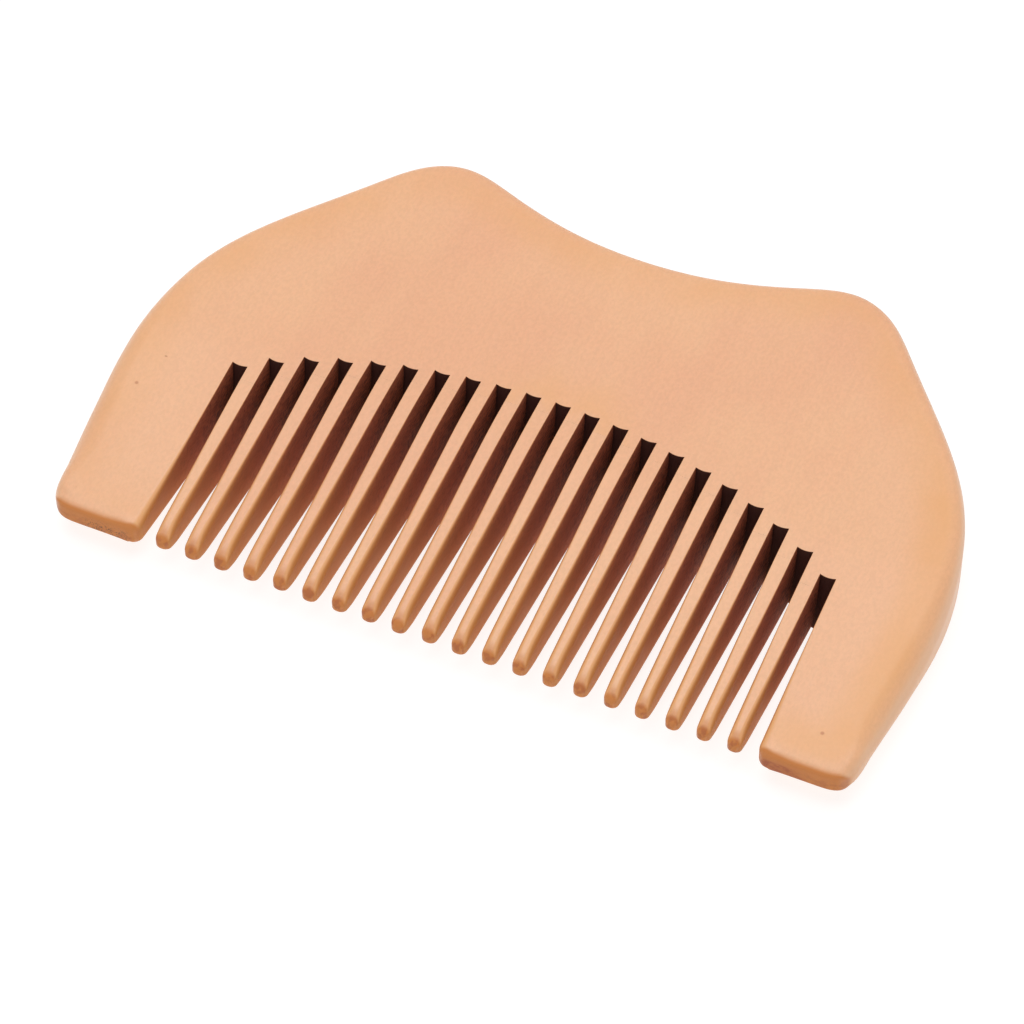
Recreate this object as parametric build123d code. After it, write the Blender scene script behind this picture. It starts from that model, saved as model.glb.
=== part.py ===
from build123d import *
import os
from math import asin, cos, radians, sin, sqrt

os.makedirs("parts", exist_ok=True)

# Beard comb lying flat: X along the row of teeth, +Y towards the back that the
# fingers hold, Z up through the thickness. It is drawn from the inner end of the
# middle saw slot, halfway through the thickness. The finished nodes are moved so
# that the origin is in the middle of the footprint, on the face it lies on.
# The comb is sawn from one board. Its regions are cut apart here along the lines
# where the saw slots end, and they meet face to face.

# ------------------------------------------------------------ driving sizes, mm
tooth_count = 20
tooth_pitch = 3.6
slot_width = 1.84        # saw slot on each side of a tooth
root_sag = 9.7           # the outermost slots end this far below the middle one
saw_radius = 20.0        # hollow that the saw leaves at the inner end of a slot
tooth_length = 33.4      # middle slot's inner end to the tips of the teeth
guard_length = 33.4      # and to the free ends of the two guards
row_offset = 0.3         # the row of teeth sits off the middle of the outline
arc_offset = -0.7        # and the line of slot ends sits off it the other way

guard_width = 12.7       # solid cheek beside the teeth, at the widest place
guard_draw_in = 1.9      # the cheek is this much narrower at its free end
dip_height = 24.0        # middle slot's inner end to the bottom of the finger dip
hump_height = 29.0       # and to the top of the two humps
hump_spacing = 50.2      # between the tops of the humps
corner_round = 2.4       # outer corner of a guard's free end, seen from above
inner_corner_round = 1.2 # and its inner corner
rim_round = 1.5          # all round the outline, on both faces

thickness = 8.4          # through the back
tip_thickness = 3.4      # at the free ends
taper_start = 7.0        # below the middle slot's end the faces begin to close
blend_radius = 60.0      # and turn into the taper over this radius

tooth_tip_width = 1.6    # width of a tooth where its rounded nose begins
nose_length = 1.2        # rounded nose of a tooth
edge_round_root = 0.06   # long edges of a tooth: nearly sharp at the root
edge_round_tip = 0.5     # and well rounded at the nose

# ------------------------------------------------------------ derived sizes
tip_y = -tooth_length
end_y = -guard_length
tooth_width = tooth_pitch - slot_width
last_slot_x = tooth_count / 2 * tooth_pitch
row_half = last_slot_x + slot_width / 2
half_width = row_half + guard_width
guard_end_x = half_width - guard_draw_in
far = 3 * (half_width + hump_height + guard_length)

# the inner ends of the slots lie on an ellipse
root_axis_x = 1.33 * last_slot_x
root_axis_y = root_sag / (1 - sqrt(1 - (last_slot_x / root_axis_x) ** 2))


def slot_x(i):
    """Middle of slot i; slot 0 is beside the left guard."""
    return row_offset + (i - tooth_count / 2) * tooth_pitch


def root_y(i):
    """Inner end of slot i."""
    across = (slot_x(i) - arc_offset) / root_axis_x
    return root_axis_y * (sqrt(1 - across ** 2) - 1)


# ------------------------------------------------------------ thickness profile
# each face is flat over the back, then slopes towards the free ends
slope = (thickness - tip_thickness) / 2 / (guard_length - taper_start)
turn = asin(slope / sqrt(1 + slope ** 2))
blend_reach = blend_radius * sin(turn) / (1 + cos(turn))
blend_top_y = blend_reach - taper_start
blend_low_y = -taper_start - blend_reach * cos(turn)
blend_middle_y = (blend_top_y + blend_low_y) / 2


def half_thickness(y):
    if y >= blend_top_y:
        return thickness / 2
    if y > blend_low_y:
        drop = blend_top_y - y
        return thickness / 2 - blend_radius + sqrt(blend_radius ** 2 - drop ** 2)
    return thickness / 2 - slope * (-taper_start - y)


def side_profile():
    """Section through the thickness: flat, turn and taper on both faces."""
    ys = (far, blend_top_y, blend_middle_y, blend_low_y, end_y - 1)
    top = [(y, half_thickness(y)) for y in ys]
    low = [(y, -z) for y, z in top]
    with BuildSketch(Plane.YZ) as sk:
        with BuildLine():
            Line(top[0], top[1])
            ThreePointArc(top[1], top[2], top[3])
            Line(top[3], top[4])
            Line(top[4], low[4])
            Line(low[4], low[3])
            ThreePointArc(low[3], low[2], low[1])
            Line(low[1], low[0])
            Line(low[0], top[0])
        make_face()
    return sk.sketch


# ------------------------------------------------------------ outline
hump_x = hump_spacing / 2
rise = hump_height - dip_height
flank = half_width - hump_x
right_side = [
    (0, dip_height),
    (0.72 * hump_x, dip_height + 0.69 * rise),
    (hump_x, hump_height),
    (hump_x + 0.12 * flank, 0.967 * hump_height),
    (hump_x + 0.36 * flank, 0.767 * hump_height),
    (hump_x + 0.9 * flank, 0.118 * hump_height),
    (hump_x + 0.982 * flank, -0.146 * hump_height),
    (guard_end_x, end_y),
]


def outline():
    left_side = [(-x, y) for x, y in right_side]
    with BuildSketch() as sk:
        with BuildLine():
            Spline(*right_side, tangents=[(1, 0), (-0.11, -1)])
            Spline(*left_side, tangents=[(-1, 0), (0.11, -1)])
            Line(right_side[-1], left_side[-1])
        make_face()
        fillet(sk.vertices().group_by(Axis.Y)[0], corner_round)
    return sk.sketch


def is_rim(edge):
    """Edges between a face and the sides, not the turn lines across a face."""
    box = edge.bounding_box()
    upright = box.size.X < 0.01 and box.size.Y < 0.01
    across = box.size.Y < 0.01 and box.min.Y > end_y + 1
    return not upright and not across


def region(x0, x1, y0, y1):
    """Block through the whole thickness."""
    middle = Pos((x0 + x1) / 2, (y0 + y1) / 2, 0)
    return middle * Box(x1 - x0, y1 - y0, 2 * thickness)


slab = extrude(side_profile(), far, both=True)
blank = extrude(outline(), far, both=True) & slab
blank = fillet([e for e in blank.edges() if is_rim(e)], rim_round)

# ------------------------------------------------------------ saw slots
# the blade's middle is level with the upper face, so a slot reaches furthest
# there and its end comes forward towards the lower face
hollow = saw_radius - sqrt(saw_radius ** 2 - thickness ** 2)


def slot(i):
    blade = Pos(slot_x(i), root_y(i) - saw_radius, thickness / 2)
    disc = blade * Rot(0, 90, 0) * Cylinder(saw_radius, slot_width)
    x0 = slot_x(i) - slot_width / 2
    return disc + region(x0, x0 + slot_width, 2 * end_y, root_y(i) - saw_radius)


def foot_y(i):
    """A tooth starts just past the ends of the slots on both sides of it."""
    return min(root_y(i), root_y(i + 1)) - hollow


# ------------------------------------------------------------ guards
left_foot = root_y(0) - hollow
right_foot = root_y(tooth_count) - hollow
left_inner = slot_x(0) - slot_width / 2
right_inner = slot_x(tooth_count) + slot_width / 2


def guard(inner_x, outer_x, foot):
    """Cheek of the blank beside the outermost slot, its inner corner eased."""
    with BuildSketch() as plan:
        with Locations(((inner_x + outer_x) / 2, (foot + end_y) / 2)):
            Rectangle(abs(outer_x - inner_x), foot - end_y)
        corners = plan.vertices().group_by(Axis.Y)[0]
        fillet(corners.sort_by_distance((inner_x, end_y, 0))[0], inner_corner_round)
    return blank & extrude(plan.sketch, thickness, both=True)


# ------------------------------------------------------------ one tooth
nose_turn = radians(78)
nose_y = tip_y + nose_length * sin(nose_turn)


def tooth_section(y, reach=0.0, shrink=1.0):
    """Rounded oblong across a tooth at y, or drawn in at a reach beyond y."""
    along = y / nose_y
    width = tooth_width - (tooth_width - tooth_tip_width) * along ** 4
    edge = edge_round_root + (edge_round_tip - edge_round_root) * along ** 2
    plane = Plane(origin=(0, y - reach, 0), x_dir=(1, 0, 0), z_dir=(0, -1, 0))
    height = 2 * half_thickness(y)
    return plane * RectangleRounded(width * shrink, height * shrink, edge * shrink)


def tooth(x, foot):
    """From its foot to the tip: the shaft, then the rounded nose."""
    turning = [y for y in (blend_top_y, blend_middle_y, blend_low_y) if y < foot - 0.1]
    straight = turning[-1] if turning else foot
    narrowing = [straight + (nose_y - straight) * k / 4 for k in range(1, 5)]
    shaft = [tooth_section(y) for y in [foot] + turning + narrowing]
    turns = [nose_turn * k / 4 for k in range(5)]
    nose = [tooth_section(nose_y, nose_length * sin(t), cos(t)) for t in turns]
    return Pos(x, 0, 0) * (loft(shaft, ruled=True) + loft(nose))


# ------------------------------------------------------------ the nodes
back = blank
for i in range(tooth_count + 1):
    back = back - slot(i)
for i in range(tooth_count):
    back = back - region(slot_x(i), slot_x(i + 1), 2 * end_y, foot_y(i))
back = back - region(-far, slot_x(0), 2 * end_y, left_foot)
back = back - region(slot_x(tooth_count), far, 2 * end_y, right_foot)

nodes = {"back": back}
nodes["left_guard"] = guard(left_inner, -1.5 * half_width, left_foot)
nodes["right_guard"] = guard(right_inner, 1.5 * half_width, right_foot)
for i in range(tooth_count):
    middle_x = (slot_x(i) + slot_x(i + 1)) / 2
    nodes[f"tooth_{i + 1:02d}"] = tooth(middle_x, foot_y(i))

footprint_middle = (hump_height + end_y) / 2
to_row = Pos(0, -footprint_middle, thickness / 2)
for name, solid in nodes.items():
    export_step(to_row * solid, f"parts/{name}.step")
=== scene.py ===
from math import cos, pi, radians, sin, sqrt

import bmesh
import bpy
import numpy as np
from bpy.props import FloatProperty, FloatVectorProperty, PointerProperty
from mathutils import Matrix, Vector
from mathutils.bvhtree import BVHTree
from mathutils.geometry import delaunay_2d_cdt


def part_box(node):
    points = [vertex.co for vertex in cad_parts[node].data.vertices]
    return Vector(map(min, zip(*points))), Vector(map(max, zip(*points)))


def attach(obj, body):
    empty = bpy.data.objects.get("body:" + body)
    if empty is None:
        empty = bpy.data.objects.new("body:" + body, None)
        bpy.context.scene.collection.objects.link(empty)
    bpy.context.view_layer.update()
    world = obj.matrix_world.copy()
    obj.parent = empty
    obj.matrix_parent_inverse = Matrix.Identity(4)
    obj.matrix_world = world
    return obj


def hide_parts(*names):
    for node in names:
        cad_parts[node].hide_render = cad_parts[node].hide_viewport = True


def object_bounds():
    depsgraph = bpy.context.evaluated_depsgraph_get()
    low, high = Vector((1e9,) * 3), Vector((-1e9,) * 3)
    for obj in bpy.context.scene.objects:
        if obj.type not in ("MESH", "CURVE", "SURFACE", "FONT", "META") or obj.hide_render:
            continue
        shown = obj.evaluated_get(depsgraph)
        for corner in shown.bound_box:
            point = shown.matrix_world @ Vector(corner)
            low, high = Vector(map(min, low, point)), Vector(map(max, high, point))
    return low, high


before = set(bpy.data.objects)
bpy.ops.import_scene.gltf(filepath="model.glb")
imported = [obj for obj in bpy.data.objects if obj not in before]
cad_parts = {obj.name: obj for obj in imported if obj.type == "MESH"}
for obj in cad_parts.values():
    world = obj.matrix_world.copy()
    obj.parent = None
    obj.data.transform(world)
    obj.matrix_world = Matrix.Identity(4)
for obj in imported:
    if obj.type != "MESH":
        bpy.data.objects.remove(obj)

bl_info = {
    "name": "Wooden beard comb",
    "version": (1, 0, 0),
    "blender": (4, 5, 0),
    "location": "View3D > Sidebar > Beard comb",
    "description": "Builds a one-piece wooden beard comb and its studio",
    "category": "Add Mesh",
}

MM = 0.001
TOOTH_NODES = sorted(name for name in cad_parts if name.startswith("tooth_"))
BOARD_NODES = ["back", "left_guard", "right_guard"]
CAD_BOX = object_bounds()
BACK_LOW, BACK_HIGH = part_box("back")
THICKNESS = BACK_HIGH.z - BACK_LOW.z
MIDDLE_Z = (BACK_HIGH.z + BACK_LOW.z) / 2
END_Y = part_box("left_guard")[0].y
TIP_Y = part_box("tooth_10")[0].y
END = END_Y / MM

# how finely things are made
SHARP_ANGLE = radians(48)
OUTLINE_STEP = 0.3 * MM
RIM_STEP = 0.6 * MM
OUTLINE_RAYS = 1201
EVEN_PASSES = 14
ROUNDING_STEPS = 7
WALL_STEPS = 8
GUARD_WALL_POINTS = 40
ARC_POINTS = 9
TOOTH_CORNER_POINTS = 10
TOOTH_RINGS = 60
SHAFT_SHARE = 0.66

# where roundings change along a guard
END_ZONE = 9 * MM
CHEEK_TOP = 12 * MM
CHEEK_SPREAD = 34 * MM
CHEEK_CLEAR = 3 * MM
CHEEK_FADE = 6 * MM
CORNER_ZONE = 4 * MM
CORNER_SPREAD = 3.2 * MM

# spacing of the points inside a face
CLOSE_ROWS = 0.5 * MM
WIDE_ROWS = 2.5 * MM
COLUMNS = 1.5 * MM
CLEAR_OF_OUTLINE = 0.5 * MM

# depth of the relief in metres, and the floor's clearance
GRAIN_RELIEF = 0.00008
PAPER_RELIEF = 0.0001
FLOOR_GAP = 0.00002

# small marks on the guards: x, y, radius and stretch along y, in millimetres
SPECKS = ((-45.5, -13.5, 0.3, 1.0), (-44.0, -9.0, 0.25, 0.6), (43.0, END + 4.5, 0.3, 1.0))


# ---------------------------------------------------------------- sizes and colours


def length(name, description, default):
    return FloatProperty(name=name, description=description, default=default, unit="LENGTH", precision=5)


def colour(name, description, default):
    return FloatVectorProperty(
        name=name, description=description, default=default, subtype="COLOR", size=3, min=0, max=1
    )


class CombSizes(bpy.types.PropertyGroup):
    """Sizes of the comb that the frame's boxes don't give."""

    saw_radius: length("Saw radius", "Hollow at the inner end of each slot", 20.0 * MM)
    slot_bulge: length("Slot end bulge", "How far the middle of a slot's end stands forward", 0.17 * MM)
    root_height: length("Root height", "Middle slot's inner end above the frame's origin", 2.2 * MM)
    taper_start: length("Taper start", "Below the middle slot's end the faces start to close", 7.0 * MM)
    taper_blend: length("Taper blend", "Half of the stretch over which they turn", 2.75 * MM)
    tip_thickness: length("Tip thickness", "Thickness at the free ends", 3.4 * MM)
    rim_round: length("Rim rounding", "Rounding between the faces and the sides", 1.5 * MM)
    rim_band: length("Rim band", "Width of the waxed band inside the outline", 9.0 * MM)
    cheek_round: length("Cheek rounding", "Rounding of a guard's outer side near its end", 3.1 * MM)
    end_soften: length("End softening", "How far the guards' end rounding reaches in", 2.4 * MM)
    end_drop: length("End drop", "How far down the guards' end rounding reaches", 0.75 * MM)
    sawn_edge: length("Sawn edge", "Rounding of the edges along a slot at its root", 0.08 * MM)
    worn_edge: length("Worn edge", "Rounding of a guard's inner edge at its end", 1.05 * MM)
    inner_corner: length("Inner corner", "Plan radius of a guard's inner corner", 1.25 * MM)
    tooth_tip_width: length("Tooth tip width", "Width of a tooth where its nose begins", 1.6 * MM)
    nose_length: length("Nose length", "Length of a tooth's rounded nose in plan", 1.1 * MM)
    nose_fall: length("Nose fall", "Length over which a tooth's thickness falls away", 3.2 * MM)


class CombColours(bpy.types.PropertyGroup):
    """Colours of the waxed wood, with painted shade and painted highlight among them."""

    face: colour("Face", "Sanded face of the board", (0.855, 0.452, 0.262))
    blush: colour("Blush", "Pinker patches on the face", (0.845, 0.445, 0.262))
    straw: colour("Straw", "Lighter patches on the face", (0.87, 0.485, 0.28))
    # amber is also used as painted shade on rounded edges and tooth bevels that turn away from the light
    amber: colour("Amber", "Rounded outer edges, where wax has built up", (0.84, 0.42, 0.17))
    # sawn: the slot walls' own saw-darkened tone; painted shade is added on top of it deep in the slots and
    # at their ends
    sawn: colour("Sawn", "Walls of the slots, darkened by the saw", (0.51, 0.145, 0.066))
    # the inner ends of the slots: saw burn with painted shadow, as these ends lie in shade
    scorch_and_shade: colour("Scorch and shade", "Inner ends of the slots", (0.07, 0.021, 0.014))
    # a painted highlight: the pale very edge of the rounded rim, where it catches the light
    rim_highlight: colour("Rim highlight", "Very edge of the outline, rubbed pale", (0.88, 0.60, 0.42))
    flank: colour("Flank", "Sides of the teeth towards their tips", (0.66, 0.28, 0.085))
    end_grain: colour("End grain", "Free ends of the guards and teeth", (0.62, 0.21, 0.045))
    stain: colour("Stain", "Burnt end grain", (0.38, 0.08, 0.025))
    pore: colour("Pore", "Open pores and specks", (0.10, 0.04, 0.02))


class StudioSetup(bpy.types.PropertyGroup):
    """Camera and light."""

    azimuth: FloatProperty(
        name="Azimuth", description="Camera round the comb", default=radians(24.51), subtype="ANGLE"
    )
    elevation: FloatProperty(
        name="Elevation", description="Camera above the floor", default=radians(52.05), subtype="ANGLE"
    )
    roll: FloatProperty(
        name="Roll", description="Camera turned about its own axis", default=radians(-0.73), subtype="ANGLE"
    )
    distance: length("Distance", "Camera to the point it looks at", 501.3 * MM)
    aim_x: length("Aim X", "Point the camera looks at", -0.155 * MM)
    aim_y: length("Aim Y", "Point the camera looks at", -11.09 * MM)
    lens: FloatProperty(name="Lens", description="Focal length", default=158.2, unit="CAMERA")
    key_power: FloatProperty(name="Key power", description="Overhead soft box", default=2.85, unit="POWER")
    fill_level: FloatProperty(name="Fill level", description="Light from all round", default=0.4, min=0)
    floor: colour("Floor", "Plain floor", (0.3, 0.3, 0.3))
    floor_glow: FloatProperty(name="Floor glow", description="Lifts the shadows", default=0.8, min=0)


# ---------------------------------------------------------------- node arithmetic


class Wire:
    """A node's output that takes part in Python arithmetic by adding Math nodes."""

    def __init__(self, graph, socket):
        self.graph = graph
        self.socket = socket

    def math(self, operation, *others):
        return self.graph.add("ShaderNodeMath", {"operation": operation}, dict(enumerate((self, *others))))

    def __add__(self, other):
        return self.math("ADD", other)

    __radd__ = __add__

    def __mul__(self, other):
        return self.math("MULTIPLY", other)

    __rmul__ = __mul__

    def __sub__(self, other):
        return self.math("SUBTRACT", other)

    def __rsub__(self, other):
        return (self * -1.0) + other

    def __truediv__(self, other):
        return self.math("DIVIDE", other)

    def __neg__(self):
        return self * -1.0

    def __pow__(self, other):
        return self.math("POWER", other)

    def __abs__(self):
        return self.math("ABSOLUTE")

    def least(self, other):
        return self.math("MINIMUM", other)

    def most(self, other):
        return self.math("MAXIMUM", other)


class Graph:
    """A node tree with one way to add any node."""

    def __init__(self, tree):
        self.tree = tree

    def add(self, kind, settings=None, inputs=None, output=0):
        """Adds a node: its settings first, then the values or links of its sockets."""
        node = self.tree.nodes.new(kind)
        for name, value in (settings or {}).items():
            setattr(node, name, value)
        for name, value in (inputs or {}).items():
            self.feed(node.inputs[name], value)
        return Wire(self, node.outputs[output]) if len(node.outputs) else None

    def feed(self, socket, value):
        if isinstance(value, Wire):
            self.tree.links.new(value.socket, socket)
        else:
            socket.default_value = value

    def ramp(self, value, low, high):
        """0 below low, 1 above high, and a smooth step between."""
        sockets = {"Value": value, "From Min": low, "From Max": high}
        return self.add("ShaderNodeMapRange", {"interpolation_type": "SMOOTHSTEP"}, sockets)

    def split(self, vector):
        node = self.tree.nodes.new("ShaderNodeSeparateXYZ")
        self.tree.links.new(vector.socket, node.inputs[0])
        return [Wire(self, out) for out in node.outputs]

    def join(self, x, y, z):
        return self.add("ShaderNodeCombineXYZ", {}, {0: x, 1: y, 2: z})

    def noise(self, vector, scale, detail=3.0, roughness=0.5):
        sockets = {"Vector": vector, "Scale": scale, "Detail": detail, "Roughness": roughness}
        return self.add("ShaderNodeTexNoise", {}, sockets)

    def blend(self, factor, a, b, mode="MIX"):
        """Mixes two colours; a and b are colours or wires."""
        sockets = {0: factor, 6: opaque(a), 7: opaque(b)}
        return self.add("ShaderNodeMix", {"data_type": "RGBA", "blend_type": mode}, sockets, output=2)


def opaque(value):
    return value if isinstance(value, Wire) else (*value, 1.0)


# ---------------------------------------------------------------- wood


def spot(graph, x, y, at_x, at_y, radius, stretch):
    """1 at a place on the board and 0 beyond a radius, in millimetres."""
    dx = x - at_x
    dy = (y - at_y) / stretch
    return 1.0 - graph.ramp((dx * dx + dy * dy) ** 0.5, radius * 0.35, radius)


def waxed_wood():
    """Fine pale wood, sanded and waxed; grain runs along the teeth."""
    made = bpy.data.materials.get("waxed_wood")
    if made:
        return made
    hue = bpy.context.scene.comb_colours
    made = bpy.data.materials.new("waxed_wood")
    made.use_nodes = True
    made.node_tree.nodes.clear()
    g = Graph(made.node_tree)
    place = g.add("ShaderNodeTexCoord", {}, {}, output=3)
    x, y, z = [c * 1000.0 for c in g.split(place)]
    nx, ny, nz = g.split(g.add("ShaderNodeNewGeometry", {}, {}, output=1))

    # patches and grain, in millimetres
    broad = g.noise(g.join(x, y * 0.6, z), 0.055, 2.0)
    patch = g.noise(g.join(x + 40.0, y * 0.5, z), 0.16, 3.0)
    streak = g.noise(g.join(x, y * 0.045, z * 0.6), 1.1, 4.0, 0.6)
    fibre = g.noise(g.join(x, y * 0.12, z), 4.5, 3.0, 0.65)
    speckle = g.noise(g.join(x, y * 0.7, z), 2.6, 2.0, 0.6)
    fleck = g.noise(g.join(x, y * 0.16, z), 7.5, 2.0, 0.5)

    away = abs(x)
    face = g.blend(g.ramp(broad, 0.34, 0.66), tuple(hue.blush), tuple(hue.straw))
    face = g.blend(g.ramp(patch, 0.42, 0.72) * 0.45, face, tuple(hue.face))
    face = g.blend(g.ramp(away, 30.0, 44.0) * 0.5, face, tuple(hue.straw))
    tone = 0.953 + g.ramp(streak, 0.3, 0.7) * 0.02 + g.ramp(fibre, 0.3, 0.7) * 0.02
    tone = tone + g.ramp(speckle, 0.3, 0.7) * 0.065 - g.ramp(fleck, 0.66, 0.76) * 0.04
    face = g.blend(1.0, face, g.join(tone, tone, tone), "MULTIPLY")

    # waxed band inside the outline, broken up, and painted shade on the rounded outer edges: amber where
    # they turn away from the overhead light
    near_rim = g.add("ShaderNodeAttribute", {"attribute_name": "rim"}, {}, output=2)
    cloudy = g.ramp(g.noise(g.join(x, y, z), 0.11, 2.0), 0.35, 0.65)
    band = g.ramp(near_rim, 0.1, 0.75) * (0.16 + cloudy * 0.22) + g.ramp(near_rim, 0.6, 0.98) * 0.12
    # the outermost rim is kept free of amber so it shows pale: a painted highlight
    lit_edge = 1.0 - g.ramp(near_rim, 0.74, 0.94) * 0.85
    band = (band + g.ramp(near_rim, 0.2, 0.65) * g.ramp(x, 36.0, 44.0) * 0.3) * lit_edge
    # surfaces turned away from the top light are painted amber: painted shade
    turned = 1.0 - g.ramp(nz, 0.5, 0.985)
    edge = g.blend((turned * 0.3 * near_rim + band).least(1.0), face, tuple(hue.amber))
    # painted highlight: the outermost rounding, where it faces up a little, is painted pale
    highlit = g.ramp(near_rim, 0.86, 0.97) * g.ramp(nz, 0.05, 0.5) * turned
    edge = g.blend(highlit * 0.35, edge, tuple(hue.rim_highlight))

    # faint hairlines on the left guard
    figure = g.noise(g.join(x * 0.8, y * 0.35, z), 0.55, 4.0, 0.7)
    hair = 1.0 - g.ramp(abs(figure - 0.5), 0.0, 0.012)
    hair = hair * g.ramp(-x, 37.5, 40.0) * (1.0 - g.ramp(y, -14.0, -6.0)) * 0.16
    edge = g.blend(hair, edge, tuple(hue.amber))

    # the back's outer side is end grain too: darker, with fine pores
    across = g.ramp(ny, 0.35, 0.9) * g.ramp(y, 8.0, 14.0)
    rings = g.noise(g.join(x * 0.5, y, z * 2.2), 1.3, 3.0, 0.6)
    edge = g.blend(across * (0.3 + g.ramp(rings, 0.3, 0.7) * 0.35), edge, tuple(hue.end_grain))
    open_grain = g.ramp(g.noise(g.join(x, y, z), 5.0, 2.0, 0.5), 0.62, 0.7)
    edge = g.blend(across * open_grain * 0.3, edge, tuple(hue.stain))

    # sawn walls: nearly black at the slot ends, brown along the teeth, orange towards the tips; the wood is
    # darker where the saw burnt it, and the darkening deep in the slots, near their roots and on their end
    # walls is painted shade
    row = abs(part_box(TOOTH_NODES[0])[0].x) / MM
    middle = MIDDLE_Z / MM
    inside = 1.0 - g.ramp(away, row + 2.6, row + 4.0)
    ends = slot_ends(bpy.context.scene.comb_sizes)
    bow = (max(ends) - ends[0]) / MM / (row + 0.9) ** 2
    root = max(ends) / MM - away * away * bow
    share = (root - y) / (root - TIP_Y / MM)
    inside = inside * (1.0 - g.ramp(y - root, 0.8, 2.0))
    sideways = g.ramp(abs(nx), 0.55, 0.95)
    # the slots' end walls go near black: painted shadow over the saw burn
    endwall = g.ramp(-ny, 0.6, 0.95) * g.ramp(y, END + 6.0, END + 10.0)
    wall = (sideways + endwall).least(1.0) * inside
    saw_marks = g.noise(g.join(x * 0.4, y * 2.2, z * 0.25), 2.2, 3.0, 0.65)
    fuzz = g.noise(g.join(x, y * 0.4, z * 2.0), 3.0, 3.0, 0.7)
    # darker low down in a slot and near its root: painted shade
    depth = 1.0 - g.ramp(z, middle - 1.0, THICKNESS / MM)
    dark = (1.0 - g.ramp(share, 0.02, 0.42)) * (0.1 + depth * 0.55)
    dark = dark + (g.ramp(saw_marks, 0.3, 0.75) - 0.5) * 0.25 + (g.ramp(fuzz, 0.4, 0.6) - 0.5) * 0.6
    dark = (dark + endwall * 1.6).most(0.0).least(1.0)
    sawn = g.blend(dark, tuple(hue.sawn), tuple(hue.scorch_and_shade))
    sawn = g.blend(g.ramp(share, 0.3, 0.92), sawn, tuple(hue.flank))
    # tooth bevels that turn sideways are painted amber: painted shade between the lit top and the darker
    # sides
    skin = g.blend(g.ramp(abs(nx), 0.12, 0.5) * inside * 0.8, edge, tuple(hue.amber))
    skin = g.blend(wall, skin, sawn)

    # end grain on the free ends: amber, stained low down, with open pores
    end_near = 1.0 - g.ramp(y, END + 1.2, END + 4.5)
    facing_out = g.ramp(-ny, 0.3, 0.65)
    low = 1.0 - g.ramp(z, middle - 0.4, middle + 1.2)
    cheek = g.ramp(away, row + 1.0, row + 2.2)
    cloud = g.ramp(g.noise(g.join(x * 0.7, y, z * 1.3), 0.9, 3.0, 0.6), 0.42, 0.62)
    pores = g.ramp(g.noise(g.join(x, y, z), 5.5, 2.0, 0.6), 0.56, 0.60)
    pores = pores * (0.15 + 0.85 * g.ramp(-x, 37.5, 38.5) * (1.0 - g.ramp(-x, 42.0, 44.0)))
    tips = (1.0 - cheek) * g.ramp(g.noise(g.join(x, y, z), 1.1, 2.0), 0.45, 0.62) * 0.6
    tips = tips * (1.0 - g.ramp(y, END + 0.4, END + 1.6))
    scar = g.ramp(x, 37.0, 38.5) * (1.0 - g.ramp(x, 40.5, 44.0)) * (0.6 + cloud * 0.4)
    burnt = (low * cheek * (cloud * 0.4 + scar) + tips).least(1.0)
    grain = g.blend(burnt, tuple(hue.end_grain), tuple(hue.stain))
    grain = g.blend(pores * low * cheek * 0.9, grain, tuple(hue.pore))
    skin = g.blend(end_near * facing_out * 0.9, skin, grain)

    # small blemishes on the guards
    specks = sum(spot(g, x, y, *speck) for speck in SPECKS)
    skin = g.blend(specks.least(1.0) * 0.5, skin, tuple(hue.stain))

    dull = wall * (1.0 - g.ramp(share, 0.5, 1.0))
    bare = (end_near * g.ramp(-ny, 0.75, 0.95) + wall).least(1.0)
    sheen = 0.40 + g.ramp(streak, 0.3, 0.7) * 0.07 + dull.most(bare * 0.5) * 0.5 - turned * 0.06
    relief = fibre * 0.4 + streak * 0.4 + speckle * 0.5 + saw_marks * wall * 1.5
    bump = g.add("ShaderNodeBump", {}, {"Strength": 0.2, "Distance": GRAIN_RELIEF, "Height": relief})
    sockets = {
        "Base Color": skin,
        "Roughness": sheen,
        "Normal": bump,
        "Specular IOR Level": 0.3,
        "Coat Weight": (1.0 - bare) * 0.2,
        "Coat Roughness": 0.28,
        "Subsurface Weight": 0.06,
        "Subsurface Radius": (0.0016, 0.0008, 0.0004),
        "Subsurface Scale": 1.0,
    }
    shader = g.add("ShaderNodeBsdfPrincipled", {}, sockets)
    g.add("ShaderNodeOutputMaterial", {}, {"Surface": shader})
    return made


# ---------------------------------------------------------------- shape of the board


def taper(size):
    """Where the faces start to close, and how fast."""
    start = size.root_height - size.taper_start
    return start, (THICKNESS - size.tip_thickness) / 2 / (start - END_Y)


def half_thickness(y):
    """Half the thickness at a height y: flat over the back, then tapering."""
    size = bpy.context.scene.comb_sizes
    start, slope = taper(size)
    beyond = start - y
    turning = np.clip(beyond + size.taper_blend, 0, 2 * size.taper_blend)
    closed = turning ** 2 / (4 * size.taper_blend) + np.maximum(0, beyond - size.taper_blend)
    return THICKNESS / 2 - slope * closed


def outer_side():
    """The outline of the frame at half height, from one guard's end round the back to the other's."""
    points = []
    faces = []
    for name in BOARD_NODES:
        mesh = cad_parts[name].data
        mesh.calc_loop_triangles()
        base = len(points)
        points += [v.co.copy() for v in mesh.vertices]
        faces += [[base + i for i in t.vertices] for t in mesh.loop_triangles]
    solid = BVHTree.FromPolygons(points, faces)
    centre = Vector((0, -3 * MM, MIDDLE_Z))
    found = []
    for turn in np.linspace(-150, 150, OUTLINE_RAYS):
        out = Vector((sin(radians(turn)), cos(radians(turn)), 0))
        hit = solid.ray_cast(centre + out * 0.2, -out)[0]
        if hit is not None:
            found.append((hit.x, hit.y))
    return np.array(found)


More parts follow.
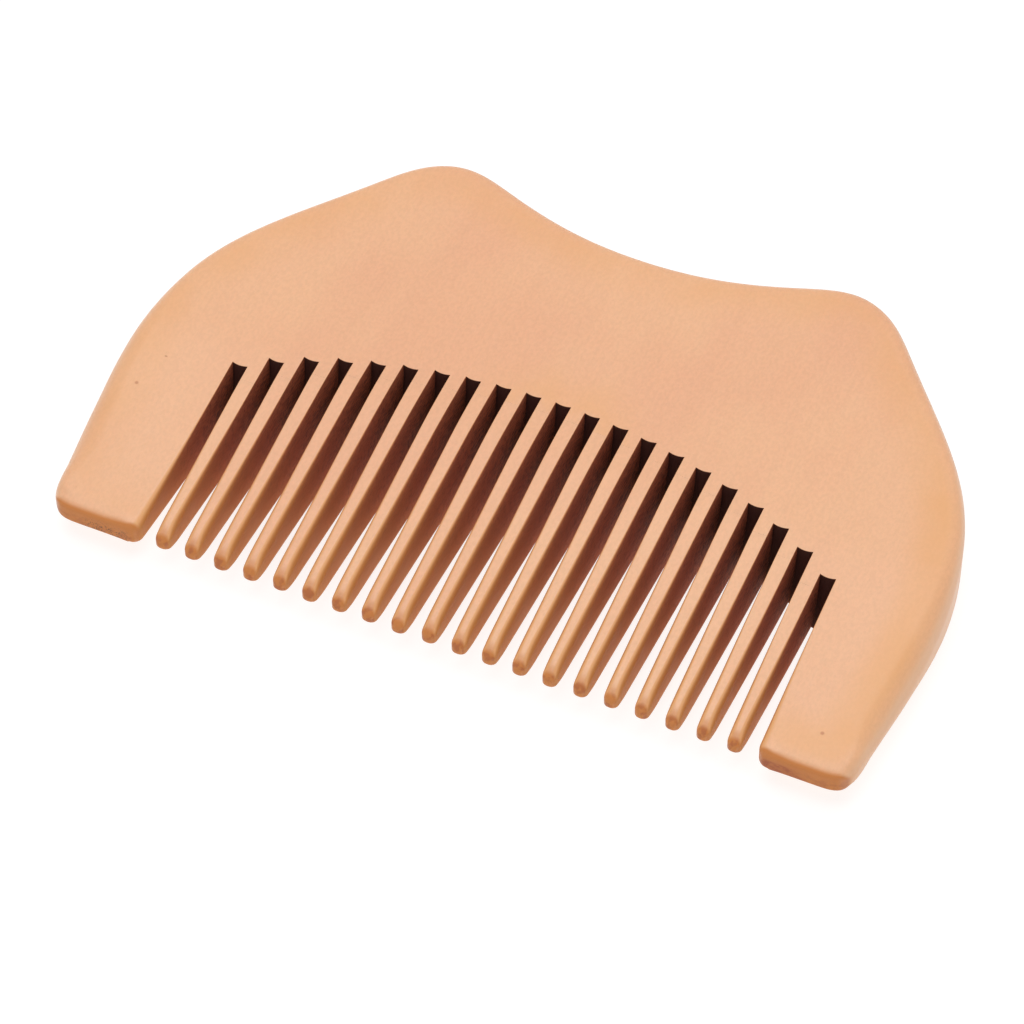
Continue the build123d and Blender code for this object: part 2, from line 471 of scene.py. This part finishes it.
def even(points, step):
    """The same line with its points a step apart, its facets smoothed away."""
    run = np.r_[0, np.cumsum(np.hypot(*np.diff(points, axis=0).T))]
    count = int(run[-1] / step)
    at = np.linspace(0, run[-1], count)
    line = np.c_[np.interp(at, run, points[:, 0]), np.interp(at, run, points[:, 1])]
    for _ in range(EVEN_PASSES):
        line[1:-1] = (line[:-2] + 2 * line[1:-1] + line[2:]) / 4
    return line


class Edge:
    """A point on the board's plan outline, with what its upper and lower edges do there."""

    def __init__(self, x, y, out, reach, drop, hollow=0.0, lip=0.12 * MM):
        self.x = x
        self.y = y
        self.out = np.array(out, float)       # sum of the outward normals
        self.inset = -np.array(out, float) * reach if np.isscalar(reach) else np.array(reach)
        self.drop = drop                      # how far down the rounding reaches
        self.hollow = hollow                  # 1 on a slot's end, which leans with depth
        self.lip = lip                        # flat strip beside the rounding


def smooth(value):
    value = np.clip(value, 0, 1)
    return value * value * (3 - 2 * value)


def slot_ends(size):
    """Inner end of each slot, worked out from the feet of the teeth on both sides of it."""
    hollow = size.saw_radius - sqrt(size.saw_radius ** 2 - THICKNESS ** 2)
    feet = [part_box(name)[1].y + hollow for name in TOOTH_NODES]
    top = feet.index(max(feet))
    if feet[top - 1] > feet[top + 1]:
        top -= 1
    ends = feet[: top + 1] + [0.0] + feet[top + 1 :]
    k = top + 1
    ends[k] = (4 * ends[k - 1] + 4 * ends[k + 1] - ends[k - 2] - ends[k + 2]) / 6
    return ends


def board_outline():
    """All the edge points of the board, counter-clockwise seen from above."""
    size = bpy.context.scene.comb_sizes
    boxes = [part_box(name) for name in TOOTH_NODES]
    centres = [(low.x + high.x) / 2 for low, high in boxes]
    pitch = (centres[-1] - centres[0]) / (len(centres) - 1)
    tooth = max(high.x - low.x for low, high in boxes)
    slot = pitch - tooth
    slots = [centres[0] - pitch / 2 + pitch * i for i in range(len(centres) + 1)]
    ends = slot_ends(size)
    left_wall = slots[0] - slot / 2
    right_wall = slots[-1] + slot / 2
    corner = size.inner_corner

    # the outside, from the right guard's end over the back to the left guard's end
    side = outer_side()
    beyond_walls = (side[:, 0] > right_wall + corner) | (side[:, 0] < left_wall - corner)
    keep = beyond_walls | (side[:, 1] > 2 * size.root_height)
    side = even(side[keep][::-1], OUTLINE_STEP)
    along = np.gradient(side, axis=0)
    along /= np.hypot(*along.T)[:, None]
    outward = np.c_[along[:, 1], -along[:, 0]]
    edges = []
    for (px, py), out in zip(side, outward):
        near_end = smooth((END_Y + END_ZONE - py) / END_ZONE)
        facing_end = smooth((-out[1] - 0.2) / 0.7)
        near_cheek = smooth((CHEEK_TOP - py) / CHEEK_SPREAD)
        near_cheek *= smooth((py - END_Y - CHEEK_CLEAR) / CHEEK_FADE)
        reach = size.rim_round + (size.end_soften - size.rim_round) * near_end * facing_end
        reach += (size.cheek_round - size.rim_round) * near_cheek
        wall = left_wall if px < 0 else right_wall
        to_corner = abs(px - wall) - corner
        if py < END_Y + CORNER_ZONE:
            reach = size.worn_edge + (reach - size.worn_edge) * smooth(to_corner / CORNER_SPREAD)
        drop = min(reach, 0.92 * half_thickness(py))
        drop += (min(drop, size.end_drop) - drop) * near_end * facing_end
        edges.append(Edge(px, py, out, reach, drop, lip=0.2 * MM))

    def corner_arc(wall, outward_x):
        """A guard's inner corner in plan, from its end face to its slot wall or back."""
        made = []
        for turn in np.linspace(-90, 0, ARC_POINTS):
            nx = cos(radians(turn)) * outward_x
            ny = sin(radians(turn))
            cx = wall - outward_x * corner
            place = (cx + nx * corner, END_Y + corner + ny * corner)
            made.append(Edge(*place, (nx, ny), size.worn_edge, size.worn_edge))
        return made

    def guard_wall(wall, outward_x, top_y):
        """A guard's inner side, from its end up to the slot's end."""
        low_y = END_Y + corner
        made = []
        for share in np.linspace(0.03, 0.97, GUARD_WALL_POINTS):
            py = low_y + (top_y - low_y) * share
            worn = (1 - share) ** 2.0
            reach = size.sawn_edge + (size.worn_edge - size.sawn_edge) * worn
            made.append(Edge(wall, py, (outward_x, 0), reach, reach))
        return made

    def slot_end(i):
        """Left to right across the inner end of slot i."""
        made = []
        for share in np.linspace(-1, 1, ARC_POINTS):
            px = slots[i] + share * slot / 2
            py = ends[i] - size.slot_bulge * (1 - share * share)
            sideways = 1.0 if share == -1 else -1.0 if share == 1 else 0.0
            out = (sideways, -1.0)
            made.append(Edge(px, py, out, size.sawn_edge, size.sawn_edge, hollow=1.0))
        return made

    def foot(i):
        """Across the board under tooth i, from one slot to the next."""
        foot_y = boxes[i][1].y
        low_x = slots[i] + slot / 2
        high_x = slots[i + 1] - slot / 2
        seam = 0.004 * MM
        edge = size.sawn_edge
        return [
            Edge(low_x, foot_y, (-1, -1), (edge, seam), edge),
            Edge(high_x, foot_y, (1, -1), (-edge, seam), edge),
        ]

    edges += corner_arc(left_wall, 1.0)
    edges += guard_wall(left_wall, 1.0, ends[0])
    for i in range(len(slots)):
        edges += slot_end(i)
        if i < len(boxes):
            edges += foot(i)
    edges += guard_wall(right_wall, -1.0, ends[-1])[::-1]
    edges += corner_arc(right_wall, -1.0)[::-1]
    return edges


def board_mesh():
    """The back and both guards as one closed mesh."""
    size = bpy.context.scene.comb_sizes
    edges = board_outline()
    count = len(edges)

    def lean(z):
        depth = THICKNESS / 2 - z
        return size.saw_radius - sqrt(size.saw_radius ** 2 - depth ** 2)

    def ring(inward, fall, side, lip=0.0):
        """One loop of points: inward and fall are shares of the rounding; side is 1 on top, -1 below."""
        loop = []
        for e in edges:
            px, py = np.array((e.x, e.y)) + e.inset * inward - e.out * e.lip * lip
            z = half_thickness(py) - e.drop * fall
            z *= side
            py -= e.hollow * lean(z)
            loop.append((px, py, z))
        return loop

    def wall(share):
        """One loop down the wall, share 0 at its top and 1 at its foot."""
        loop = []
        for e in edges:
            z = (half_thickness(e.y) - e.drop) * (1 - 2 * share)
            loop.append((e.x, e.y - e.hollow * lean(z), z))
        return loop

    loops = [ring(1, 0, 1, lip=1.0)]
    for k in range(ROUNDING_STEPS + 1):
        turn = pi / 2 * (1 - k / ROUNDING_STEPS)
        loops.append(ring(1 - cos(turn), 1 - sin(turn), 1))
    loops += [wall(k / WALL_STEPS) for k in range(1, WALL_STEPS)]
    for k in range(ROUNDING_STEPS + 1):
        turn = pi / 2 * k / ROUNDING_STEPS
        loops.append(ring(1 - cos(turn), 1 - sin(turn), -1))
    loops.append(ring(1, 0, -1, lip=1.0))

    points = [p for loop in loops for p in loop]
    faces = []
    for k in range(len(loops) - 1):
        for i in range(count):
            j = (i + 1) % count
            a, b = k * count, (k + 1) * count
            faces.append((a + i, b + i, b + j, a + j))

    def cap(loop_start, side):
        loop = [Vector(points[loop_start + i][:2]) for i in range(count)]
        plan = np.array(loop)
        inner = inside_points(plan)
        plan_edges = [(i, (i + 1) % count) for i in range(count)]
        scale = 1000.0
        flat = [Vector(p) * scale for p in np.vstack([plan, inner])]
        made, _, triangles, origins, _, _ = delaunay_2d_cdt(flat, plan_edges, [], 1, 1e-5)
        index = []
        for p, origin in zip(made, origins):
            if origin and min(origin) < count:
                index.append(loop_start + min(origin))
            else:
                px, py = p / scale
                index.append(len(points))
                points.append((px, py, side * float(half_thickness(py))))
        for t in triangles:
            face = [index[v] for v in t]
            faces.append(face if side > 0 else face[::-1])

    cap(0, 1)
    cap((len(loops) - 1) * count, -1)
    mesh = bpy.data.meshes.new("board")
    lifted = [(px, py, pz + MIDDLE_Z) for px, py, pz in points]
    mesh.from_pydata(lifted, [], faces)
    return mesh


def inside_points(plan):
    """Points that help a face follow the taper: close rows where it turns, wide rows elsewhere."""
    size = bpy.context.scene.comb_sizes
    turn_y = taper(size)[0]
    rows = list(np.arange(turn_y - 3.5 * MM, turn_y + 3.6 * MM, CLOSE_ROWS))
    rows += list(np.arange(END_Y + 3 * MM, turn_y - 4 * MM, WIDE_ROWS))
    rows += list(np.arange(turn_y + 5 * MM, BACK_HIGH.y, WIDE_ROWS))
    made = []
    for row in rows:
        for column in np.arange(-48 * MM, 48.1 * MM, COLUMNS):
            made.append((column, row))
    made = np.array(made)
    nxt = np.roll(plan, -1, axis=0)
    crossings = np.zeros(len(made), int)
    nearest = np.full(len(made), 1.0)
    for (ax, ay), (bx, by) in zip(plan, nxt):
        spans = (ay > made[:, 1]) != (by > made[:, 1])
        if ay != by:
            at = ax + (made[:, 1] - ay) * (bx - ax) / (by - ay)
            crossings += spans & (made[:, 0] < at)
        nearest = np.minimum(nearest, np.hypot(made[:, 0] - ax, made[:, 1] - ay))
        nearest = np.minimum(nearest, np.hypot(made[:, 0] - (ax + bx) / 2, made[:, 1] - (ay + by) / 2))
    return made[(crossings % 2 == 1) & (nearest > CLEAR_OF_OUTLINE)]


# ---------------------------------------------------------------- shape of the teeth


def tooth_tree():
    """Grows a tooth from each point it is given: a sawn shaft that rounds towards its nose."""
    size = bpy.context.scene.comb_sizes
    tree = bpy.data.node_groups.new("grow_teeth", "GeometryNodeTree")
    tree.interface.new_socket("Feet", in_out="INPUT", socket_type="NodeSocketGeometry")
    start, slope = taper(size)
    values = {
        "Tip Y": TIP_Y,
        "Root Width": max(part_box(n)[1].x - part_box(n)[0].x for n in TOOTH_NODES),
        "Tip Width": size.tooth_tip_width,
        "Nose Length": size.nose_length,
        "Root Edge": size.sawn_edge,
        "Nose Fall": size.nose_fall,
        "Half Thickness": THICKNESS / 2,
        "Taper From": start,
        "Taper Blend": size.taper_blend,
        "Taper Slope": slope,
        "Middle Z": MIDDLE_Z,
    }
    identifiers = {}
    for name in values:
        socket = tree.interface.new_socket(name, in_out="INPUT", socket_type="NodeSocketFloat")
        identifiers[name] = socket.identifier
    tree.interface.new_socket("Teeth", in_out="OUTPUT", socket_type="NodeSocketGeometry")
    g = Graph(tree)
    entry = tree.nodes.new("NodeGroupInput")
    given = {out.name: Wire(g, out) for out in entry.outputs if out.name}

    # the template: rings of points, the same number to each corner and flat strips between
    per_corner = TOOTH_CORNER_POINTS
    around_count = 4 * per_corner
    cylinder = tree.nodes.new("GeometryNodeMeshCylinder")
    cylinder.fill_type = "TRIANGLE_FAN"
    cylinder.inputs["Vertices"].default_value = around_count
    cylinder.inputs["Side Segments"].default_value = TOOTH_RINGS
    cylinder.inputs["Radius"].default_value = 1.0
    cylinder.inputs["Depth"].default_value = 1.0
    shape = Wire(g, cylinder.outputs["Mesh"])
    px, py, pz = g.split(g.add("GeometryNodeInputPosition"))
    turn = py.math("ARCTAN2", px) / (2 * pi) * around_count
    station = (turn + around_count + 0.5).math("FLOOR").math("MODULO", around_count)

    def store(geometry, name, kind, value):
        sockets = {"Geometry": geometry, "Name": name, "Value": value}
        return g.add("GeometryNodeStoreNamedAttribute", {"data_type": kind}, sockets)

    def read(name, kind="FLOAT"):
        return g.add("GeometryNodeInputNamedAttribute", {"data_type": kind}, {"Name": name})

    shape = store(shape, "station", "FLOAT", station)
    shape = store(shape, "along", "FLOAT", pz + 0.5)
    shape = store(shape, "radial", "FLOAT", (px * px + py * py) ** 0.5)
    feet = store(given["Feet"], "foot", "FLOAT_VECTOR", g.add("GeometryNodeInputPosition"))
    feet = store(feet, "tooth", "FLOAT", g.add("GeometryNodeInputIndex") * 1.0)
    planted = g.add("GeometryNodeInstanceOnPoints", {}, {"Points": feet, "Instance": shape})
    planted = g.add("GeometryNodeRealizeInstances", {}, {"Geometry": planted})

    # along the tooth: the shaft takes two thirds of the rings, the nose the rest
    along = read("along")
    foot_x, foot_y, _ = g.split(read("foot", "FLOAT_VECTOR"))

    def chance(low, high, seed):
        sockets = {2: low, 3: high, "ID": read("tooth"), "Seed": seed}
        return g.add("FunctionNodeRandomValue", {"data_type": "FLOAT"}, sockets, output=1)

    draw = chance(0.0, 1.0, 7)
    other = chance(-1.0, 1.0, 19)
    tip_y = given["Tip Y"] + draw * (0.12 * MM)
    nose_y = tip_y + given["Nose Length"]
    shaft = (along / SHAFT_SHARE).least(1.0)
    nose = ((along - SHAFT_SHARE) / (1 - SHAFT_SHARE)).most(0.0)
    nose_turn = nose * radians(88)
    at_y = foot_y + (nose_y - foot_y) * (1.0 - (1.0 - shaft) ** 1.5)
    at_y = at_y - given["Nose Length"] * nose_turn.math("SINE")
    drawn_in = (1.0 - nose_turn.math("SINE") ** 2.6) ** 0.5
    fall = 1.0 - ((at_y - tip_y) / given["Nose Fall"]).least(1.0)
    fallen = (1.0 - fall * fall).most(0.0) ** 0.5
    at_tip = g.ramp(along, 0.9999, 1.0) * (1.0 - read("radial"))
    at_y = at_y + (tip_y - at_y) * at_tip

    # across it
    worn = (foot_y - at_y.most(nose_y)) / (foot_y - nose_y)
    lean = 1.08 + other * 0.02 - foot_x * (0.0014 / MM)
    lost = given["Root Width"] - given["Tip Width"] * lean
    half_width = (given["Root Width"] - lost * worn ** 4.0) * 0.5 * drawn_in
    beyond = given["Taper From"] - at_y.most(nose_y)
    turning = (beyond + given["Taper Blend"]).most(0.0).least(given["Taper Blend"] * 2.0)
    closed = turning * turning / (given["Taper Blend"] * 4.0) + (beyond - given["Taper Blend"]).most(0.0)
    half_height = (given["Half Thickness"] - given["Taper Slope"] * closed) * fallen
    edge_x = given["Root Edge"] * drawn_in
    edge_x = edge_x + (half_width * 0.9 - edge_x) * worn ** 1.5
    edge_z = given["Root Edge"] * fallen
    edge_z = edge_z + (half_height * 0.58 - edge_z) * worn ** 1.7
    place = read("station")
    corner = (place / per_corner).math("FLOOR")
    step = place - corner * per_corner
    swing = ((step - 1.0) / (per_corner - 3)).most(0.0).least(1.0)
    angle = (corner + swing) * (pi / 2)
    middle = (corner + 0.5) * (pi / 2)
    sign_x = middle.math("COSINE").math("SIGN")
    sign_z = middle.math("SINE").math("SIGN")
    strip = ((half_width - edge_x) * 0.12).least(0.12 * MM)
    before = 1.0 - step.least(1.0)
    after = (step - (per_corner - 2)).most(0.0)
    tangent = angle + pi / 2
    slide = (after - before) * strip
    at_x = sign_x * (half_width - edge_x) + angle.math("COSINE") * edge_x + tangent.math("COSINE") * slide
    at_z = sign_z * (half_height - edge_z) + angle.math("SINE") * edge_z + tangent.math("SINE") * slide
    radial = read("radial")
    moved = g.join(foot_x + at_x * radial, at_y, given["Middle Z"] + at_z * radial)
    teeth = g.add("GeometryNodeSetPosition", {}, {"Geometry": planted, "Position": moved})
    teeth = g.add("GeometryNodeSetShadeSmooth", {}, {"Geometry": teeth})
    teeth = g.add("GeometryNodeRealizeInstances", {}, {"Geometry": teeth})
    teeth = g.add("GeometryNodeSetMaterial", {}, {"Geometry": teeth, "Material": waxed_wood()})
    leave = tree.nodes.new("NodeGroupOutput")
    tree.links.new(teeth.socket, leave.inputs[0])
    return tree, {identifiers[name]: value for name, value in values.items()}


# ---------------------------------------------------------------- putting pieces in the scene


def mark_rim(mesh):
    """Stores how near each point is to the outer outline: 1 on it, 0 well inside."""
    size = bpy.context.scene.comb_sizes
    side = even(outer_side(), RIM_STEP)
    side = side[(np.abs(side[:, 0]) > abs(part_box(TOOTH_NODES[0])[0].x) + 2 * MM) | (side[:, 1] > 0)]
    places = np.array([v.co[:2] for v in mesh.vertices])
    nearest = np.full(len(places), 1.0)
    for px, py in side:
        nearest = np.minimum(nearest, np.hypot(places[:, 0] - px, places[:, 1] - py))
    rim = mesh.attributes.new("rim", "FLOAT", "POINT")
    rim.data.foreach_set("value", np.clip(1 - nearest / size.rim_band, 0, 1))


def finish_mesh(mesh, name):
    """Merges doubles, turns the faces outwards, and puts the mesh in the scene at the origin."""
    shape = bmesh.new()
    shape.from_mesh(mesh)
    bmesh.ops.remove_doubles(shape, verts=shape.verts, dist=1e-7)
    bmesh.ops.recalc_face_normals(shape, faces=shape.faces)
    for edge in shape.edges:
        if len(edge.link_faces) == 2 and edge.calc_face_angle() > SHARP_ANGLE:
            edge.smooth = False
    shape.to_mesh(mesh)
    open_edges = sum(1 for e in shape.edges if len(e.link_faces) != 2)
    shape.free()
    if open_edges:
        raise RuntimeError(f"{name} has {open_edges} open edges")
    for polygon in mesh.polygons:
        polygon.use_smooth = True
    piece = bpy.data.objects.new(name, mesh)
    bpy.context.scene.collection.objects.link(piece)
    if not mesh.materials:
        mesh.materials.append(waxed_wood())
    return piece


def place_piece(piece, nodes):
    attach(piece, "root")
    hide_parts(*nodes)


class COMB_OT_board(bpy.types.Operator):
    """Builds the back and the two guards, with the ends of the saw slots"""

    bl_idname = "comb.board"
    bl_label = "Back and guards"

    def execute(self, context):
        piece = finish_mesh(board_mesh(), "back_and_guards")
        mark_rim(piece.data)
        place_piece(piece, BOARD_NODES)
        return {"FINISHED"}


class COMB_OT_teeth(bpy.types.Operator):
    """Grows the row of teeth from their feet on the board"""

    bl_idname = "comb.teeth"
    bl_label = "Teeth"

    def execute(self, context):
        feet = []
        for name in TOOTH_NODES:
            low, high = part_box(name)
            feet.append(((low.x + high.x) / 2, high.y, MIDDLE_Z))
        mesh = bpy.data.meshes.new("tooth_feet")
        mesh.from_pydata(feet, [], [])
        row = bpy.data.objects.new("tooth_row", mesh)
        context.scene.collection.objects.link(row)
        tree, values = tooth_tree()
        modifier = row.modifiers.new("teeth", "NODES")
        modifier.node_group = tree
        for identifier, value in values.items():
            modifier[identifier] = value
        depsgraph = context.evaluated_depsgraph_get()
        grown = bpy.data.meshes.new_from_object(row.evaluated_get(depsgraph))
        row.modifiers.remove(modifier)
        bpy.data.objects.remove(row)
        for name in ("station", "along", "radial", "foot", "tooth"):
            if name in grown.attributes:
                grown.attributes.remove(grown.attributes[name])
        piece = finish_mesh(grown, "teeth")
        place_piece(piece, TOOTH_NODES)
        return {"FINISHED"}


# ---------------------------------------------------------------- studio


def floor_material(setup):
    made = bpy.data.materials.new("paper_floor")
    made.use_nodes = True
    made.node_tree.nodes.clear()
    g = Graph(made.node_tree)
    place = g.add("ShaderNodeTexCoord", {}, {}, output=3)
    tooth = g.noise(place, 900.0, 2.0)
    bump = g.add("ShaderNodeBump", {}, {"Strength": 0.03, "Distance": PAPER_RELIEF, "Height": tooth})
    sockets = {
        "Base Color": (*setup.floor, 1.0),
        "Roughness": 0.9,
        "Specular IOR Level": 0.1,
        "Normal": bump,
        "Emission Color": (1.0, 1.0, 1.0, 1.0),
        "Emission Strength": setup.floor_glow,
    }
    shader = g.add("ShaderNodeBsdfPrincipled", {}, sockets)
    g.add("ShaderNodeOutputMaterial", {}, {"Surface": shader})
    return made


class COMB_OT_studio(bpy.types.Operator):
    """Lays the floor and sets the lights and the camera"""

    bl_idname = "comb.studio"
    bl_label = "Studio"

    def execute(self, context):
        scene = context.scene
        setup = scene.comb_studio
        reach = 2.0
        corners = [(-reach, -reach, 0), (reach, -reach, 0), (reach, reach, 0), (-reach, reach, 0)]
        mesh = bpy.data.meshes.new("floor")
        mesh.from_pydata(corners, [], [(0, 1, 2, 3)])
        mesh.materials.append(floor_material(setup))
        floor = bpy.data.objects.new("floor", mesh)
        scene.collection.objects.link(floor)
        floor.location.z = CAD_BOX[0].z - FLOOR_GAP

        def soft_box(name, place, aim, width, power):
            lamp = bpy.data.lights.new(name, "AREA")
            lamp.shape = "SQUARE"
            lamp.size = width
            lamp.energy = power
            holder = bpy.data.objects.new(name, lamp)
            holder.location = place
            look = Vector(aim) - Vector(place)
            holder.rotation_euler = look.to_track_quat("-Z", "Y").to_euler()
            scene.collection.objects.link(holder)

        soft_box("overhead_box", (-0.03, 0.06, 0.62), (0, 0, 0), 0.6, setup.key_power)
        world = bpy.data.worlds.new("studio")
        world.use_nodes = True
        sky = world.node_tree.nodes["Background"]
        sky.inputs["Color"].default_value = (1.0, 1.0, 1.0, 1.0)
        sky.inputs["Strength"].default_value = setup.fill_level
        scene.world = world

        az, el, roll = setup.azimuth, setup.elevation, setup.roll
        back = Vector((sin(az) * cos(el), -cos(az) * cos(el), sin(el)))
        right = Vector((cos(az), sin(az), 0))
        up = back.cross(right)
        turned_right = right * cos(roll) + up * sin(roll)
        turned_up = up * cos(roll) - right * sin(roll)
        eye = Vector((setup.aim_x, setup.aim_y, MIDDLE_Z)) + back * setup.distance
        matrix = Matrix((turned_right, turned_up, back)).transposed().to_4x4()
        matrix.translation = eye
        camera = bpy.data.cameras.new("camera")
        camera.lens = setup.lens
        camera.sensor_width = 36.0
        camera.clip_start = 0.01
        holder = bpy.data.objects.new("camera", camera)
        holder.matrix_world = matrix
        scene.collection.objects.link(holder)
        scene.camera = holder
        scene.view_settings.view_transform = "Standard"
        return {"FINISHED"}


class COMB_PT_panel(bpy.types.Panel):
    """Sizes, colours and steps of the beard comb"""

    bl_idname = "COMB_PT_panel"
    bl_label = "Beard comb"
    bl_space_type = "VIEW_3D"
    bl_region_type = "UI"
    bl_category = "Beard comb"

    def draw(self, context):
        layout = self.layout
        for group in (context.scene.comb_sizes, context.scene.comb_colours, context.scene.comb_studio):
            for name in group.__annotations__:
                layout.prop(group, name)
        for step in (COMB_OT_board, COMB_OT_teeth, COMB_OT_studio):
            layout.operator(step.bl_idname)


CLASSES = (
    CombSizes,
    CombColours,
    StudioSetup,
    COMB_OT_board,
    COMB_OT_teeth,
    COMB_OT_studio,
    COMB_PT_panel,
)


def register():
    for cls in CLASSES:
        bpy.utils.register_class(cls)
    bpy.types.Scene.comb_sizes = PointerProperty(type=CombSizes)
    bpy.types.Scene.comb_colours = PointerProperty(type=CombColours)
    bpy.types.Scene.comb_studio = PointerProperty(type=StudioSetup)


def unregister():
    del bpy.types.Scene.comb_studio
    del bpy.types.Scene.comb_colours
    del bpy.types.Scene.comb_sizes
    for cls in reversed(CLASSES):
        bpy.utils.unregister_class(cls)


def main():
    register()
    bpy.ops.comb.board()
    bpy.ops.comb.teeth()
    bpy.ops.comb.studio()


if __name__ == "__main__":
    main()
